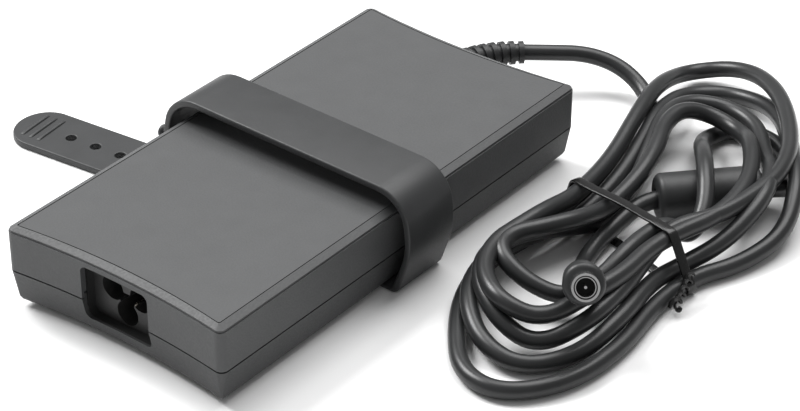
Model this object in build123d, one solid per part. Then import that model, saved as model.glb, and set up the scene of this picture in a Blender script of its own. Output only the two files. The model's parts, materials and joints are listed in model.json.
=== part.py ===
from build123d import *
import math
import os

os.makedirs("parts", exist_ok=True)

# Frame: millimetres, +Z up, floor at Z = 0. The origin is under the middle of the case.
# +Y runs along the case from the mains inlet to the low-voltage cord; the strap's tail points to -X.

# ---------------------------------------------------------------- driving dimensions
CASE_LENGTH = 154.7
CASE_WIDTH = 76.2
CASE_TOP_Z = 25.4
FOOT_HEIGHT = 1.4
PARTING_Z = 11.6
PARTING_GROOVE = 0.45
WALL = 1.8
END_DIP = 2.6
CORNER_RADIUS = 2.2
LOWER_TAPER = 1.6
LOWER_EDGE = 1.5
BEVEL_INSET = 2.3
BEVEL_DROP = 0.9
BEVEL_STEP = 0.35
RIM_LINE = 0.3
TONGUE_OUTSIDE = 0.95
TONGUE_HEIGHT = 1.5
FIT_GAP = 0.1
FOOT_PLACES = [(x, y) for x in (-28, 28) for y in (-66, 66)]
FOOT_RADIUS = 4.0
FOOT_POCKET = 0.6
FOOT_CHAMFER = 0.4

INLET_X = -1.0
INLET_Z = 13.9
INLET_WIDTH = 23.6
INLET_HEIGHT = 17.0
INLET_CORNER = 2.0
INLET_DEPTH = 4.5
INLET_RIM = 0.9
SOCKET_DEPTH = 12.5
SOCKET_LOBE_RADIUS = 3.7
LOBE_OFFSETS = [(-4.9, 1.9), (4.9, 1.9), (0.0, -4.3)]
INLET_FACE_Y = -(CASE_LENGTH / 2 - END_DIP - INLET_DEPTH)
INLET_FRONT_Y = -(CASE_LENGTH / 2 - END_DIP - WALL - FIT_GAP)
INLET_BACK_Y = INLET_FACE_Y + SOCKET_DEPTH + 2.5
PIN_RADIUS = 1.18
PIN_REACH = 9.5

BOARD_Z = 5.8
BOARD_THICKNESS = 1.6
BOARD_TOP = BOARD_Z + BOARD_THICKNESS
BOARD_LOW = (-33, -49)
BOARD_HIGH = (33, 66)
STANDOFF_PLACES = [(x, y) for x in (-29, 29) for y in (-44, 60)]
STANDOFF_RADIUS = 2.6
STAKE_HOLE_RADIUS = 1.2
SHEET_THICKNESS = 0.4
LEAD_RADIUS = 0.5

# Components in plain packages: two corners, counted in Z from the board's top, and where the leads stand.
PACKAGES = {
    "input_fuse": ((-30, -42, 1), (-20, -36, 8), [(-28, -39), (-22, -39)]),
    "mains_filter_capacitor": ((-10, -46, 0.6), (8, -36, 14), [(-8, -41), (6, -41)]),
    "bridge_rectifier": ((-30, -28, 2.5), (-26.5, -10, 13), [(-28.2, y) for y in (-25, -21, -17, -13)]),
    "safety_capacitor": ((-14, -30, 2), (-5, -26.5, 10), [(-12, -28.2), (-7, -28.2)]),
}
# Ring chokes: centre, outside radius, inside radius, height and number of coil blocks.
CHOKES = {
    "filter_choke": ((20, -34), 9, 5, 7, 10),
    "output_choke": ((-10, 43), 7.5, 4, 6, 8),
}
CHOKE_LIFT = 1.6
WIRE_COVER = 1.3
RESERVOIR_ENDS = (-11, 23)
RESERVOIR_Y = -15
RESERVOIR_RADIUS = 7.8
RESERVOIR_LEAD_GAP = 2.5
OUTPUT_CAPACITOR_PLACES = [(20, 38), (20, 50), (8, 51)]
OUTPUT_CAPACITOR_RADIUS = 5.0
OUTPUT_CAPACITOR_HEIGHT = 14.5
CORE_HALF_WIDTH = 16.0
CORE_LOW_Y = 2.0
CORE_HIGH_Y = 31.0
CORE_PLATE = 5.0
CORE_LEG = 4.0
CORE_HEIGHT = 14.0
CORE_LIFT = 1.2
CORE_MIDDLE_RADIUS = 3.4
SPOOL_RADIUS = 4.4
SPOOL_FLANGE_RADIUS = 7.2
SPOOL_FLANGE = 1.2
SPOOL_GAP = 0.2
SINK_INNER_X = 30.5
SINK_OUTER_X = 32.5
SINK_HEIGHT = 15.0
SINK_FINS = 5
DEVICE_THICKNESS = 3.2
DEVICE_LEG_PITCH = 2.54
OUTPUT_WIRE_RADIUS = 0.8
OUTPUT_WIRE_SPACING = 1.4

GLAND_X = -8.0
GLAND_Z = 12.4
GLAND_HOLE_RADIUS = 4.8
FLANGE_RADIUS = 6.6
RELIEF_BEND_RADIUS = 29.6
RELIEF_BEND_ANGLE = 51.0
RELIEF_START_Y = 78.0
RELIEF_ROOT_RADIUS = 4.6
RELIEF_TIP_RADIUS = 3.1
RELIEF_RIBS = 9
RELIEF_RIB_HEIGHT = 0.75
RELIEF_RIB_WIDTH = 1.5
RELIEF_COLLAR_RADIUS = 6.0

CORD_RADIUS = 2.5
PLUG_NOSE = (100.2, -7.2, 27.3)
PLUG_HEADING = 36.1
PLUG_TILT = 30.0
PLUG_BARREL_LENGTH = 9.5
PLUG_GRIP_LENGTH = 16.0
PLUG_TAPER_LENGTH = 14.0
PLUG_GRIP_RADIUS = 5.8
PLUG_GRIP_BACK_RADIUS = 5.2
PLUG_GRIP_EDGE = 1.6
PLUG_TAIL_RADIUS = 3.0
PLUG_TAPER_RADIUS = 4.3
PLUG_RIBS = 4
PLUG_RIB_PITCH = 3.0
PLUG_BARREL_RADIUS = 3.7
PLUG_ROOT_LENGTH = 4.0
PLUG_ROOT_RADIUS = 3.45
PLUG_SLEEVE_RADIUS = 3.1
PLUG_CONTACT_RADIUS = 2.75
PLUG_BORE_RADIUS = 2.5
PLUG_PIN_RADIUS = 0.4

FERRITE_CENTRE = (85.0, 76.2, 7.2)
FERRITE_HEADING = 47.0
FERRITE_LENGTH = 30.0
FERRITE_RADIUS = 7.0
FERRITE_SHELL = 1.3
FERRITE_EDGE = 1.8

STRAP_WIDTH = 19.5
STRAP_Y = 0.8
STRAP_THICKNESS = 2.0
STRAP_SOLE = 1.0
LOOP_CORNERS = [(-41.6, 33.4), (43.4, 32.2), (45.3, 14.5), (40.4, 0.0), (-40.4, 0.0), (-45.0, 14.5)]
LOOP_RADII = [12.0, 11.0, 26.0, 2.6, 2.6, 26.0]
TAIL_YAW = 6.2
TAIL_HINGE = 51.0
TAIL_TIP = 102.0
TAIL_GAP = 0.4
TAIL_HOLES = [65.0, 74.0, 83.0]
TAIL_HOLE_RADIUS = 1.6
TAIL_RIBS = [90.5, 93.5, 96.5]
RIB_HALF_LENGTH = 6.5
RIB_HALF_WIDTH = 0.6
PEG_Z = 16.0
PEG_RADIUS = 1.3
PEG_HEAD_RADIUS = 2.0

HANK_HEIGHT = 13.0
TIE_WIDTH = 3.0
TIE_THICKNESS = 0.8
TIE_CENTRE = (80.2, 46.4, 0)
TIE_HEADING = -16.0
TIE_HALF_SPAN = 28.8
TIE_END_RADIUS = 1.1

# The cord's route where it isn't coiled, chosen by hand: the lead from the strain relief to the hank,
# and the end from the hank through the ferrite to the plug.
LEAD_ROUTE = [
    (9.0, 105.6, 12.4), (17.2, 113.2, 11.6), (26.2, 117.4, 9.0), (35.8, 116.2, 5.6),
    (43.8, 110.0, 3.4), (49.3, 100.4, 2.6),
]
END_ROUTE = [(71.3, 50.0, 4.4), (71.6, 38.5, 2.8)]

# Plan outline of the hank, outside and inside, chosen by hand.
HANK_OUTSIDE = [
    (54, 50), (53, 20), (57, -11), (72, -29), (90, -34), (104, -24), (110, -4), (107, 40),
    (114, 70), (110, 92), (92, 117), (66, 139), (46, 141), (36, 126), (42, 102), (53, 68),
]
HANK_INSIDE = [
    (67.5, 50), (64, 24), (71, 11), (83, 11), (88, 22), (87, 48),
    (89, 80), (78, 100), (67, 105), (62, 98), (67, 74),
]
HANK_CORNER_OUTSIDE = 14.0
HANK_CORNER_INSIDE = 4.5
HANK_EDGE_RADIUS = 2.5


# ---------------------------------------------------------------- small helpers
def block(low, high):
    """Return a box between two opposite corners."""
    size = [b - a for a, b in zip(low, high)]
    centre = [(a + b) / 2 for a, b in zip(low, high)]
    return Pos(*centre) * Box(*size)


def bar(start, end, radius):
    """Return a round bar between two points."""
    run = Vector(*end) - Vector(*start)
    return extrude(Plane(origin=start, z_dir=run) * Circle(radius), amount=run.length)


def post(x, y, low_z, high_z, radius):
    """Return an upright round post."""
    return bar((x, y, low_z), (x, y, high_z), radius)


def ring(centre, axis, outside, inside, length):
    """Return a round tube with its first face at the centre, running along the axis."""
    section = Plane(origin=centre, z_dir=axis) * (Circle(outside) - Circle(inside))
    return extrude(section, amount=length)


def save(node, shape):
    """Write one node."""
    shape.label = node
    export_step(shape, f"parts/{node}.step")


# ---------------------------------------------------------------- case
def case_outline(z, shrink):
    """Return the case's plan outline at a height, drawn in by shrink; both short ends are hollow."""
    half_x = CASE_WIDTH / 2 - shrink
    half_y = CASE_LENGTH / 2 - shrink
    dip_y = half_y - END_DIP
    sides = [
        Line((half_x, -half_y), (half_x, half_y)),
        ThreePointArc((half_x, half_y), (0, dip_y), (-half_x, half_y)),
        Line((-half_x, half_y), (-half_x, -half_y)),
        ThreePointArc((-half_x, -half_y), (0, -dip_y), (half_x, -half_y)),
    ]
    flat = make_face(sides)
    return Pos(0, 0, z) * fillet(flat.vertices(), max(CORNER_RADIUS - shrink, 0.5))


def case_slab(low_z, high_z, shrink):
    """Return the outline carried straight up between two heights."""
    return extrude(case_outline(low_z, shrink), amount=high_z - low_z)


def case_frustum(low_z, low_shrink, high_z, high_shrink):
    """Return a slab whose outline changes evenly with height."""
    return loft([case_outline(low_z, low_shrink), case_outline(high_z, high_shrink)])


def end_openings():
    """Return the cutter for the inlet opening and the cord hole, in the two ends of the case."""
    mouth = Plane.XZ.offset(CASE_LENGTH / 2 - 8) * Pos(INLET_X, INLET_Z) * RectangleRounded(
        INLET_WIDTH, INLET_HEIGHT, INLET_CORNER)
    end_y = CASE_LENGTH / 2
    hole = bar((GLAND_X, end_y - 8, GLAND_Z), (GLAND_X, end_y + 4, GLAND_Z), GLAND_HOLE_RADIUS)
    return extrude(mouth, amount=12) + hole


def fixture_pockets():
    """Return the cutter that clears the lower shell's inside for the inlet block and the cord's flange."""
    low_y = INLET_FRONT_Y - FIT_GAP / 2
    half_x = INLET_WIDTH / 2 + INLET_RIM + FIT_GAP / 2
    half_z = INLET_HEIGHT / 2 + INLET_RIM + FIT_GAP / 2
    pocket = block((INLET_X - half_x, low_y, INLET_Z - half_z), (INLET_X + half_x, low_y + 6, INLET_Z + half_z))
    inner_y = CASE_LENGTH / 2 - END_DIP - WALL
    flange_radius = FLANGE_RADIUS + FIT_GAP / 2
    return pocket + bar((GLAND_X, inner_y - 6, GLAND_Z), (GLAND_X, inner_y, GLAND_Z), flange_radius)


def top_cover():
    """Upper shell: upright sides, a bevelled rim between two fine lines, and a flat top."""
    low_z = PARTING_Z + PARTING_GROOVE / 2
    rim_z = CASE_TOP_Z - BEVEL_DROP - 0.4
    outside = case_slab(low_z, rim_z, 0) + case_slab(rim_z, CASE_TOP_Z - BEVEL_DROP, BEVEL_STEP)
    outside += case_frustum(CASE_TOP_Z - BEVEL_DROP, BEVEL_STEP, CASE_TOP_Z, BEVEL_INSET)
    side_line = case_slab(rim_z - RIM_LINE, rim_z, -1) - case_slab(rim_z - RIM_LINE, rim_z, BEVEL_STEP)
    line_z = CASE_TOP_Z - RIM_LINE
    top_line = case_slab(line_z, CASE_TOP_Z + 1, BEVEL_INSET + 0.1)
    top_line -= case_slab(line_z, CASE_TOP_Z + 1, BEVEL_INSET + 0.1 + RIM_LINE)
    cavity = case_slab(low_z, CASE_TOP_Z - WALL, WALL)
    rebate = case_slab(low_z, low_z + TONGUE_HEIGHT + FIT_GAP, TONGUE_OUTSIDE - FIT_GAP)
    return outside - side_line - top_line - cavity - rebate - end_openings()


def bottom_cover():
    """Lower shell: sides that draw in to a rounded lower edge, a tongue, standoffs and foot pockets."""
    high_z = PARTING_Z - PARTING_GROOVE / 2
    outside = case_frustum(FOOT_HEIGHT + LOWER_EDGE, LOWER_TAPER, high_z, 0)
    middle_z = FOOT_HEIGHT + LOWER_EDGE / 3
    middle_shrink = LOWER_TAPER + LOWER_EDGE / 3
    outside += case_frustum(middle_z, middle_shrink, FOOT_HEIGHT + LOWER_EDGE, LOWER_TAPER)
    outside += case_frustum(FOOT_HEIGHT, LOWER_TAPER + LOWER_EDGE, middle_z, middle_shrink)
    tongue = case_slab(high_z - 1, high_z + TONGUE_HEIGHT, TONGUE_OUTSIDE)
    cavity = case_slab(FOOT_HEIGHT + WALL, high_z + TONGUE_HEIGHT + 1, WALL + LOWER_TAPER)
    cavity += case_slab(high_z - 3, high_z + TONGUE_HEIGHT + 1, WALL)
    shell = outside + tongue - cavity - end_openings() - fixture_pockets()
    for x, y in STANDOFF_PLACES:
        shell += post(x, y, FOOT_HEIGHT + WALL, BOARD_Z, STANDOFF_RADIUS)
    for x, y in FOOT_PLACES:
        shell -= post(x, y, FOOT_HEIGHT - 1, FOOT_HEIGHT + FOOT_POCKET, FOOT_RADIUS + FIT_GAP)
    return shell


def feet():
    """Four round rubber feet, each in its pocket."""
    pads = []
    for x, y in FOOT_PLACES:
        pad = post(x, y, 0, FOOT_HEIGHT + FOOT_POCKET, FOOT_RADIUS)
        pads.append(chamfer(pad.faces().sort_by(Axis.Z)[0].edges(), FOOT_CHAMFER))
    return Compound(children=pads)


# ---------------------------------------------------------------- mains inlet
def inlet_rectangle(y, grow, corner):
    """Return the inlet's rounded rectangle in the plane at y, facing -Y."""
    shape = RectangleRounded(INLET_WIDTH + 2 * grow, INLET_HEIGHT + 2 * grow, corner)
    return Plane.XZ.offset(-y) * Pos(INLET_X, INLET_Z) * shape


def socket():
    """Return the three-lobe socket's space: a round bore for each lobe and the triangle between them."""
    floor_y = INLET_FACE_Y + SOCKET_DEPTH
    middle = Plane.XZ.offset(-floor_y) * Pos(INLET_X, INLET_Z) * Polygon(*LOBE_OFFSETS, align=None)
    space = extrude(middle, amount=SOCKET_DEPTH, dir=(0, -1, 0))
    for x, z in LOBE_OFFSETS:
        lobe = (INLET_X + x, floor_y, INLET_Z + z)
        space += bar(lobe, (lobe[0], INLET_FACE_Y - 1, lobe[2]), SOCKET_LOBE_RADIUS)
    return space


def inlet_housing():
    """Moulded inlet block: a shallow front recess, and the three-lobe socket in its face."""
    body = extrude(inlet_rectangle(INLET_BACK_Y, INLET_RIM, INLET_CORNER), amount=INLET_BACK_Y - INLET_FRONT_Y)
    recess = extrude(inlet_rectangle(INLET_FACE_Y, -0.1, INLET_CORNER), amount=INLET_DEPTH)
    body = body - recess - socket()
    for place in LOBE_OFFSETS:
        body -= inlet_pin(place, PIN_RADIUS + 0.02, False)
    return body


def inlet_pin(place, radius, rounded):
    """One contact pin, from behind the block to its tip inside the socket."""
    x = INLET_X + place[0]
    z = INLET_Z + place[1]
    tip_y = INLET_FACE_Y + SOCKET_DEPTH - PIN_REACH
    pin = bar((x, INLET_BACK_Y + 3.5, z), (x, tip_y, z), radius)
    if rounded:
        pin = fillet(pin.faces().sort_by(Axis.Y)[0].edges(), radius * 0.8)
    return pin


# ---------------------------------------------------------------- circuit board and what it carries
def circuit_board():
    """Board with a hole over each standoff's place for its heat stake."""
    board = block((*BOARD_LOW, BOARD_Z), (*BOARD_HIGH, BOARD_TOP))
    for x, y in STANDOFF_PLACES:
        board -= post(x, y, BOARD_Z - 1, BOARD_TOP + 1, STAKE_HOLE_RADIUS)
    return board


def insulation_sheet():
    """Thin sheet under the board, cut round the standoffs."""
    low_z = FOOT_HEIGHT + WALL
    low = (BOARD_LOW[0], BOARD_LOW[1] - 1, low_z)
    sheet = block(low, (BOARD_HIGH[0], BOARD_HIGH[1] + 1, low_z + SHEET_THICKNESS))
    for x, y in STANDOFF_PLACES:
        sheet -= post(x, y, 0, BOARD_Z, STANDOFF_RADIUS + 0.3)
    return sheet


def packaged(low, high, lead_places):
    """A component body held off the board on round leads."""
    low_z = BOARD_TOP + low[2]
    body = block((low[0], low[1], low_z), (high[0], high[1], BOARD_TOP + high[2]))
    for x, y in lead_places:
        body += post(x, y, BOARD_TOP, low_z + LEAD_RADIUS, LEAD_RADIUS)
    return body


def toroid_core(centre, outside, inside, height):
    """A flat ring core."""
    return ring((*centre, BOARD_TOP + CHOKE_LIFT), (0, 0, 1), outside, inside, height)


def toroid_winding(centre, outside, inside, height, coils):
    """Wire wound on the ring core, as separate coil blocks spread evenly round it."""
    low_z = BOARD_TOP + CHOKE_LIFT - WIRE_COVER
    fat = ring((*centre, low_z), (0, 0, 1), outside + WIRE_COVER, inside - WIRE_COVER, height + 2 * WIRE_COVER)
    fat -= toroid_core(centre, outside, inside, height)
    step = 360 / coils
    blocks = []
    for index in range(coils):
        blade = Rot(0, 0, index * step) * block((0, -1.5, -30), (outside + 5, 1.5, 60))
        blocks.append(fat & (Pos(*centre, 0) * blade))
    feet_pins = [post(centre[0] + side * outside, centre[1], BOARD_TOP, low_z, LEAD_RADIUS) for side in (-1, 1)]
    return Compound(children=[solid for item in blocks for solid in item.solids()] + feet_pins)


def lying_capacitor():
    """Large reservoir capacitor on its side, with its two leads down to the board."""
    low_x, high_x = RESERVOIR_ENDS
    z = BOARD_TOP + RESERVOIR_RADIUS + FIT_GAP
    can = bar((low_x, RESERVOIR_Y, z), (high_x, RESERVOIR_Y, z), RESERVOIR_RADIUS)
    can = fillet(can.edges().filter_by(GeomType.CIRCLE), 0.8)
    bend_x = low_x - RESERVOIR_LEAD_GAP
    for side in (-RESERVOIR_LEAD_GAP, RESERVOIR_LEAD_GAP):
        y = RESERVOIR_Y + side
        can += bar((bend_x, y, z), (low_x + 1, y, z), LEAD_RADIUS)
        can += post(bend_x, y, BOARD_TOP, z + LEAD_RADIUS, LEAD_RADIUS)
    return can


def transformer_core():
    """Two ferrite plates and the three legs between them."""
    low_z = BOARD_TOP + CORE_LIFT
    high_z = low_z + CORE_HEIGHT
    middle_z = (low_z + high_z) / 2
    leg_y = (CORE_LOW_Y + CORE_PLATE, CORE_HIGH_Y - CORE_PLATE)
    core = bar((0, leg_y[0], middle_z), (0, leg_y[1], middle_z), CORE_MIDDLE_RADIUS)
    for y in (CORE_LOW_Y, leg_y[1]):
        core += block((-CORE_HALF_WIDTH, y, low_z), (CORE_HALF_WIDTH, y + CORE_PLATE, high_z))
    for x in (-CORE_HALF_WIDTH, CORE_HALF_WIDTH - CORE_LEG):
        core += block((x, leg_y[0], low_z), (x + CORE_LEG, leg_y[1], high_z))
    return core


def transformer_bobbin():
    """Spool round the middle leg, with pin rows that stand on the board."""
    z = BOARD_TOP + CORE_LIFT + CORE_HEIGHT / 2
    low_y = CORE_LOW_Y + CORE_PLATE + SPOOL_GAP
    high_y = CORE_HIGH_Y - CORE_PLATE - SPOOL_GAP
    bore = CORE_MIDDLE_RADIUS + FIT_GAP
    spool = ring((0, low_y, z), (0, 1, 0), SPOOL_RADIUS, bore, high_y - low_y)
    for y in (low_y, high_y - SPOOL_FLANGE):
        spool += ring((0, y, z), (0, 1, 0), SPOOL_FLANGE_RADIUS, SPOOL_RADIUS - 0.2, SPOOL_FLANGE)
    return spool


def transformer_winding():
    """Taped copper winding on the spool, between its flanges."""
    z = BOARD_TOP + CORE_LIFT + CORE_HEIGHT / 2
    end = CORE_PLATE + SPOOL_GAP + SPOOL_FLANGE + FIT_GAP
    low_y = CORE_LOW_Y + end
    length = CORE_HIGH_Y - end - low_y
    return ring((0, low_y, z), (0, 1, 0), SPOOL_FLANGE_RADIUS - 0.3, SPOOL_RADIUS + FIT_GAP, length)


def heat_sink(side, low_y, high_y):
    """Upright plate with a row of short fins near its top; side is 1 or -1."""
    low_x, high_x = sorted((side * SINK_INNER_X, side * SINK_OUTER_X))
    high_z = BOARD_TOP + SINK_HEIGHT
    plate = block((low_x, low_y, BOARD_TOP), (high_x, high_y, high_z))
    fin_x = sorted((side * SINK_INNER_X, side * (SINK_INNER_X - 2.2)))
    for index in range(SINK_FINS):
        y = low_y + 3 + index * (high_y - low_y - 8) / (SINK_FINS - 1)
        plate += block((fin_x[0], y, high_z - 3.5), (fin_x[1], y + 1.5, high_z))
    return plate


def power_package(side, y):
    """A three-leg power device standing against the inner face of a side's heat sink."""
    near_x, far_x = sorted((side * SINK_INNER_X, side * (SINK_INNER_X - DEVICE_THICKNESS)))
    body = block((near_x, y - 5, BOARD_TOP + 3), (far_x, y + 5, BOARD_TOP + 11))
    middle_x = (near_x + far_x) / 2
    for step in (-DEVICE_LEG_PITCH, 0, DEVICE_LEG_PITCH):
        body += post(middle_x, y + step, BOARD_TOP, BOARD_TOP + 3.5, 0.45)
    return body


def output_capacitors():
    """Standing output capacitors."""
    cans = []
    for x, y in OUTPUT_CAPACITOR_PLACES:
        can = post(x, y, BOARD_TOP, BOARD_TOP + OUTPUT_CAPACITOR_HEIGHT, OUTPUT_CAPACITOR_RADIUS)
        cans.append(fillet(can.faces().sort_by(Axis.Z)[-1].edges(), 0.7))
    return Compound(children=cans)


def small_chip(x, y, width, length, height, legs):
    """A small moulded chip with legs along both sides."""
    low_z = BOARD_TOP + 0.3
    body = block((x - width / 2, y - length / 2, low_z), (x + width / 2, y + length / 2, low_z + height))
    for side in (-1, 1):
        for index in range(legs):
            leg_y = y + (index - (legs - 1) / 2) * length / legs
            leg_x = sorted((x + side * (width / 2 - 0.2), x + side * (width / 2 + 1)))
            body += block((leg_x[0], leg_y - 0.3, BOARD_TOP), (leg_x[1], leg_y + 0.3, low_z + 0.6))
    return body


def output_leads():
    """The cord's two wires, from inside the strain relief to the board."""
    wires = []
    for side in (-OUTPUT_WIRE_SPACING, OUTPUT_WIRE_SPACING):
        x = GLAND_X + side
        level = bar((x, 70.5, GLAND_Z), (x, 61.2, GLAND_Z), OUTPUT_WIRE_RADIUS)
        upright = post(x, 61.2 + OUTPUT_WIRE_RADIUS, BOARD_TOP, GLAND_Z, OUTPUT_WIRE_RADIUS)
        wires.append(level + upright)
    return Compound(children=wires)


# ---------------------------------------------------------------- strain relief
def relief_station(angle):
    """Return the plane across the strain relief after it has bent by an angle."""
    turn = math.radians(angle)
    x = GLAND_X + RELIEF_BEND_RADIUS * (1 - math.cos(turn))
    y = RELIEF_START_Y + RELIEF_BEND_RADIUS * math.sin(turn)
    return Plane(origin=(x, y, GLAND_Z), z_dir=(math.sin(turn), math.cos(turn), 0))


def relief_radius(angle):
    """Return the strain relief's core radius at an angle along its bend."""
    share = angle / RELIEF_BEND_ANGLE
    return RELIEF_ROOT_RADIUS + (RELIEF_TIP_RADIUS - RELIEF_ROOT_RADIUS) * share - 0.5


def strain_relief():
    """Flange, neck and collar in the case's end, then a ribbed taper that bends to one side."""
    wall_y = CASE_LENGTH / 2 - END_DIP
    relief = bar((GLAND_X, wall_y - 4.2, GLAND_Z), (GLAND_X, wall_y - 2.0, GLAND_Z), FLANGE_RADIUS)
    neck_radius = GLAND_HOLE_RADIUS - 0.15
    relief += bar((GLAND_X, wall_y - 2.2, GLAND_Z), (GLAND_X, RELIEF_START_Y, GLAND_Z), neck_radius)
    relief += bar((GLAND_X, wall_y + 0.6, GLAND_Z), (GLAND_X, wall_y + 2.6, GLAND_Z), RELIEF_COLLAR_RADIUS)
    sections = []
    for index in range(5):
        angle = RELIEF_BEND_ANGLE * index / 4
        sections.append(relief_station(angle) * Circle(relief_radius(angle)))
    relief += loft(sections)
    for index in range(RELIEF_RIBS):
        angle = RELIEF_BEND_ANGLE * (index + 0.35) / RELIEF_RIBS
        section = relief_station(angle) * Circle(relief_radius(angle) + RELIEF_RIB_HEIGHT)
        relief += extrude(section, amount=RELIEF_RIB_WIDTH)
    return relief


# ---------------------------------------------------------------- cord
def direction(heading, tilt):
    """Return the unit vector at a heading, from -Y towards +X, raised by a tilt."""
    flat = math.cos(math.radians(tilt))
    east = math.sin(math.radians(heading)) * flat
    south = math.cos(math.radians(heading)) * flat
    return Vector(east, -south, math.sin(math.radians(tilt)))


PLUG_AXIS = direction(PLUG_HEADING, PLUG_TILT)
PLUG_LENGTH = PLUG_BARREL_LENGTH + PLUG_GRIP_LENGTH + PLUG_TAPER_LENGTH
FERRITE_AXIS = Vector(math.cos(math.radians(FERRITE_HEADING)), math.sin(math.radians(FERRITE_HEADING)), 0)


def along_plug(distance):
    """Return the point this far along the plug, counted from its tail."""
    return Vector(*PLUG_NOSE) - PLUG_AXIS * (PLUG_LENGTH - distance)


def along_ferrite(distance):
    """Return the point this far along the ferrite's axis from its middle."""
    return Vector(*FERRITE_CENTRE) + FERRITE_AXIS * distance


def corner_radii(points):
    """Return the largest even bend radius that each inner point of a route allows."""
    radii = []
    for before, corner, after in zip(points, points[1:], points[2:]):
        turn = math.radians((corner - before).get_angle(after - corner))
        shorter = min((corner - before).length, (after - corner).length)
        radii.append(0.45 * shorter / math.tan(turn / 2))
    return radii


def tube(name, route):
    """Sweep the cord's round section along a route of straight runs and tangent arcs."""
    points = [Vector(*point) for point in route]
    radii = corner_radii(points)
    path = FilletPolyline(*points, radius=radii)
    section = Plane(origin=points[0], z_dir=points[1] - points[0]) * Circle(CORD_RADIUS)
    swept = sweep(section, path=path)
    expected = math.pi * CORD_RADIUS ** 2 * path.length
    print(name, "bend radii", [round(value, 1) for value in radii])
    print(name, "length", round(path.length, 1), "volume ratio", round(swept.volume / expected, 4))
    return swept


def lead_route():
    """Return the route from the strain relief's tip into the hank."""
    return [relief_station(RELIEF_BEND_ANGLE).origin] + LEAD_ROUTE


def end_route():
    """Return the route from the hank, straight through the ferrite, to the plug's tail."""
    near_hank = along_ferrite(FERRITE_LENGTH / 2 + 9)
    past_ferrite = along_ferrite(-FERRITE_LENGTH / 2 - 3)
    return [near_hank, past_ferrite] + END_ROUTE + [along_plug(-10), along_plug(0)]


def tube_clearance(route):
    """Return straight clearance bars along a route, for cutting the hank free of the cord."""
    points = [Vector(*point) for point in route]
    cutter = None
    for start, end in zip(points, points[1:]):
        piece = bar(start, end, CORD_RADIUS + 0.3) + Pos(*end) * Sphere(CORD_RADIUS + 0.3)
        cutter = piece if cutter is None else cutter + piece
    return cutter


def rounded_outline(points, corner):
    """Return a closed outline with every corner rounded."""
    edge = FilletPolyline(*points, radius=corner, close=True)
    return make_face(edge)


def tie_frame():
    """Return the location of the tie's own frame: X across the hank, Z up."""
    return Pos(*TIE_CENTRE) * Rot(0, 0, TIE_HEADING)


def cord_hank():
    """Outer shape of the wound cord: a low ring that narrows at its waist, cut clear of its neighbours."""
    outline = rounded_outline(HANK_OUTSIDE, HANK_CORNER_OUTSIDE)
    slab = extrude(outline, amount=HANK_HEIGHT)
    slab = fillet(slab.faces().sort_by(Axis.Z)[-1].edges(), HANK_EDGE_RADIUS)
    slab -= extrude(rounded_outline(HANK_INSIDE, HANK_CORNER_INSIDE), amount=HANK_HEIGHT + 1)
    slab -= bar(along_ferrite(-FERRITE_LENGTH / 2 - 1), along_ferrite(FERRITE_LENGTH / 2), FERRITE_RADIUS + 0.3)
    slab -= bar(along_plug(-1), Vector(*PLUG_NOSE), PLUG_GRIP_RADIUS + 0.4)
    slab -= tube_clearance(end_route()[1:])
    slot = tie_frame() * block((-60, -TIE_WIDTH / 2 - 0.1, -1), (60, TIE_WIDTH / 2 + 0.1, TIE_THICKNESS + 0.3))
    return slab - slot


def twist_tie():
    """Flat tie round the waist of the hank, with its two ends twisted together at one side."""
    high_z = HANK_HEIGHT + 0.1 + TIE_THICKNESS
    outside = Plane.XZ.offset(-TIE_WIDTH / 2) * Pos(0, high_z / 2) * RectangleRounded(
        2 * TIE_HALF_SPAN + 2 * TIE_THICKNESS, high_z, 1.3)
    inside = Plane.XZ.offset(-TIE_WIDTH / 2) * Pos(0, high_z / 2) * RectangleRounded(
        2 * TIE_HALF_SPAN, high_z - 2 * TIE_THICKNESS, 0.5)
    band = extrude(outside - inside, amount=TIE_WIDTH)
    flank_x = TIE_HALF_SPAN + TIE_THICKNESS
    band += bar((flank_x - 0.3, 0, 5), (flank_x + 3.2, -9, 2.4), TIE_END_RADIUS)
    return tie_frame() * band


# ---------------------------------------------------------------- ferrite and plug
def ferrite_cover():
    """Moulded cover over the ferrite, with rounded ends and the cord's bore."""
    cover = bar(along_ferrite(-FERRITE_LENGTH / 2), along_ferrite(FERRITE_LENGTH / 2), FERRITE_RADIUS)
    cover = fillet(cover.edges().filter_by(GeomType.CIRCLE), FERRITE_EDGE)
    inner_half = FERRITE_LENGTH / 2 - FERRITE_SHELL
    cover -= bar(along_ferrite(-inner_half), along_ferrite(inner_half), FERRITE_RADIUS - FERRITE_SHELL)
    return cover - bar(along_ferrite(-30), along_ferrite(30), CORD_RADIUS + 0.05)


def ferrite_core():
    """Ferrite tube inside its cover."""
    half = FERRITE_LENGTH / 2 - FERRITE_SHELL - 0.05
    outside = FERRITE_RADIUS - FERRITE_SHELL - 0.05
    return ring(along_ferrite(-half), FERRITE_AXIS, outside, CORD_RADIUS + 0.05, 2 * half)


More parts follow.
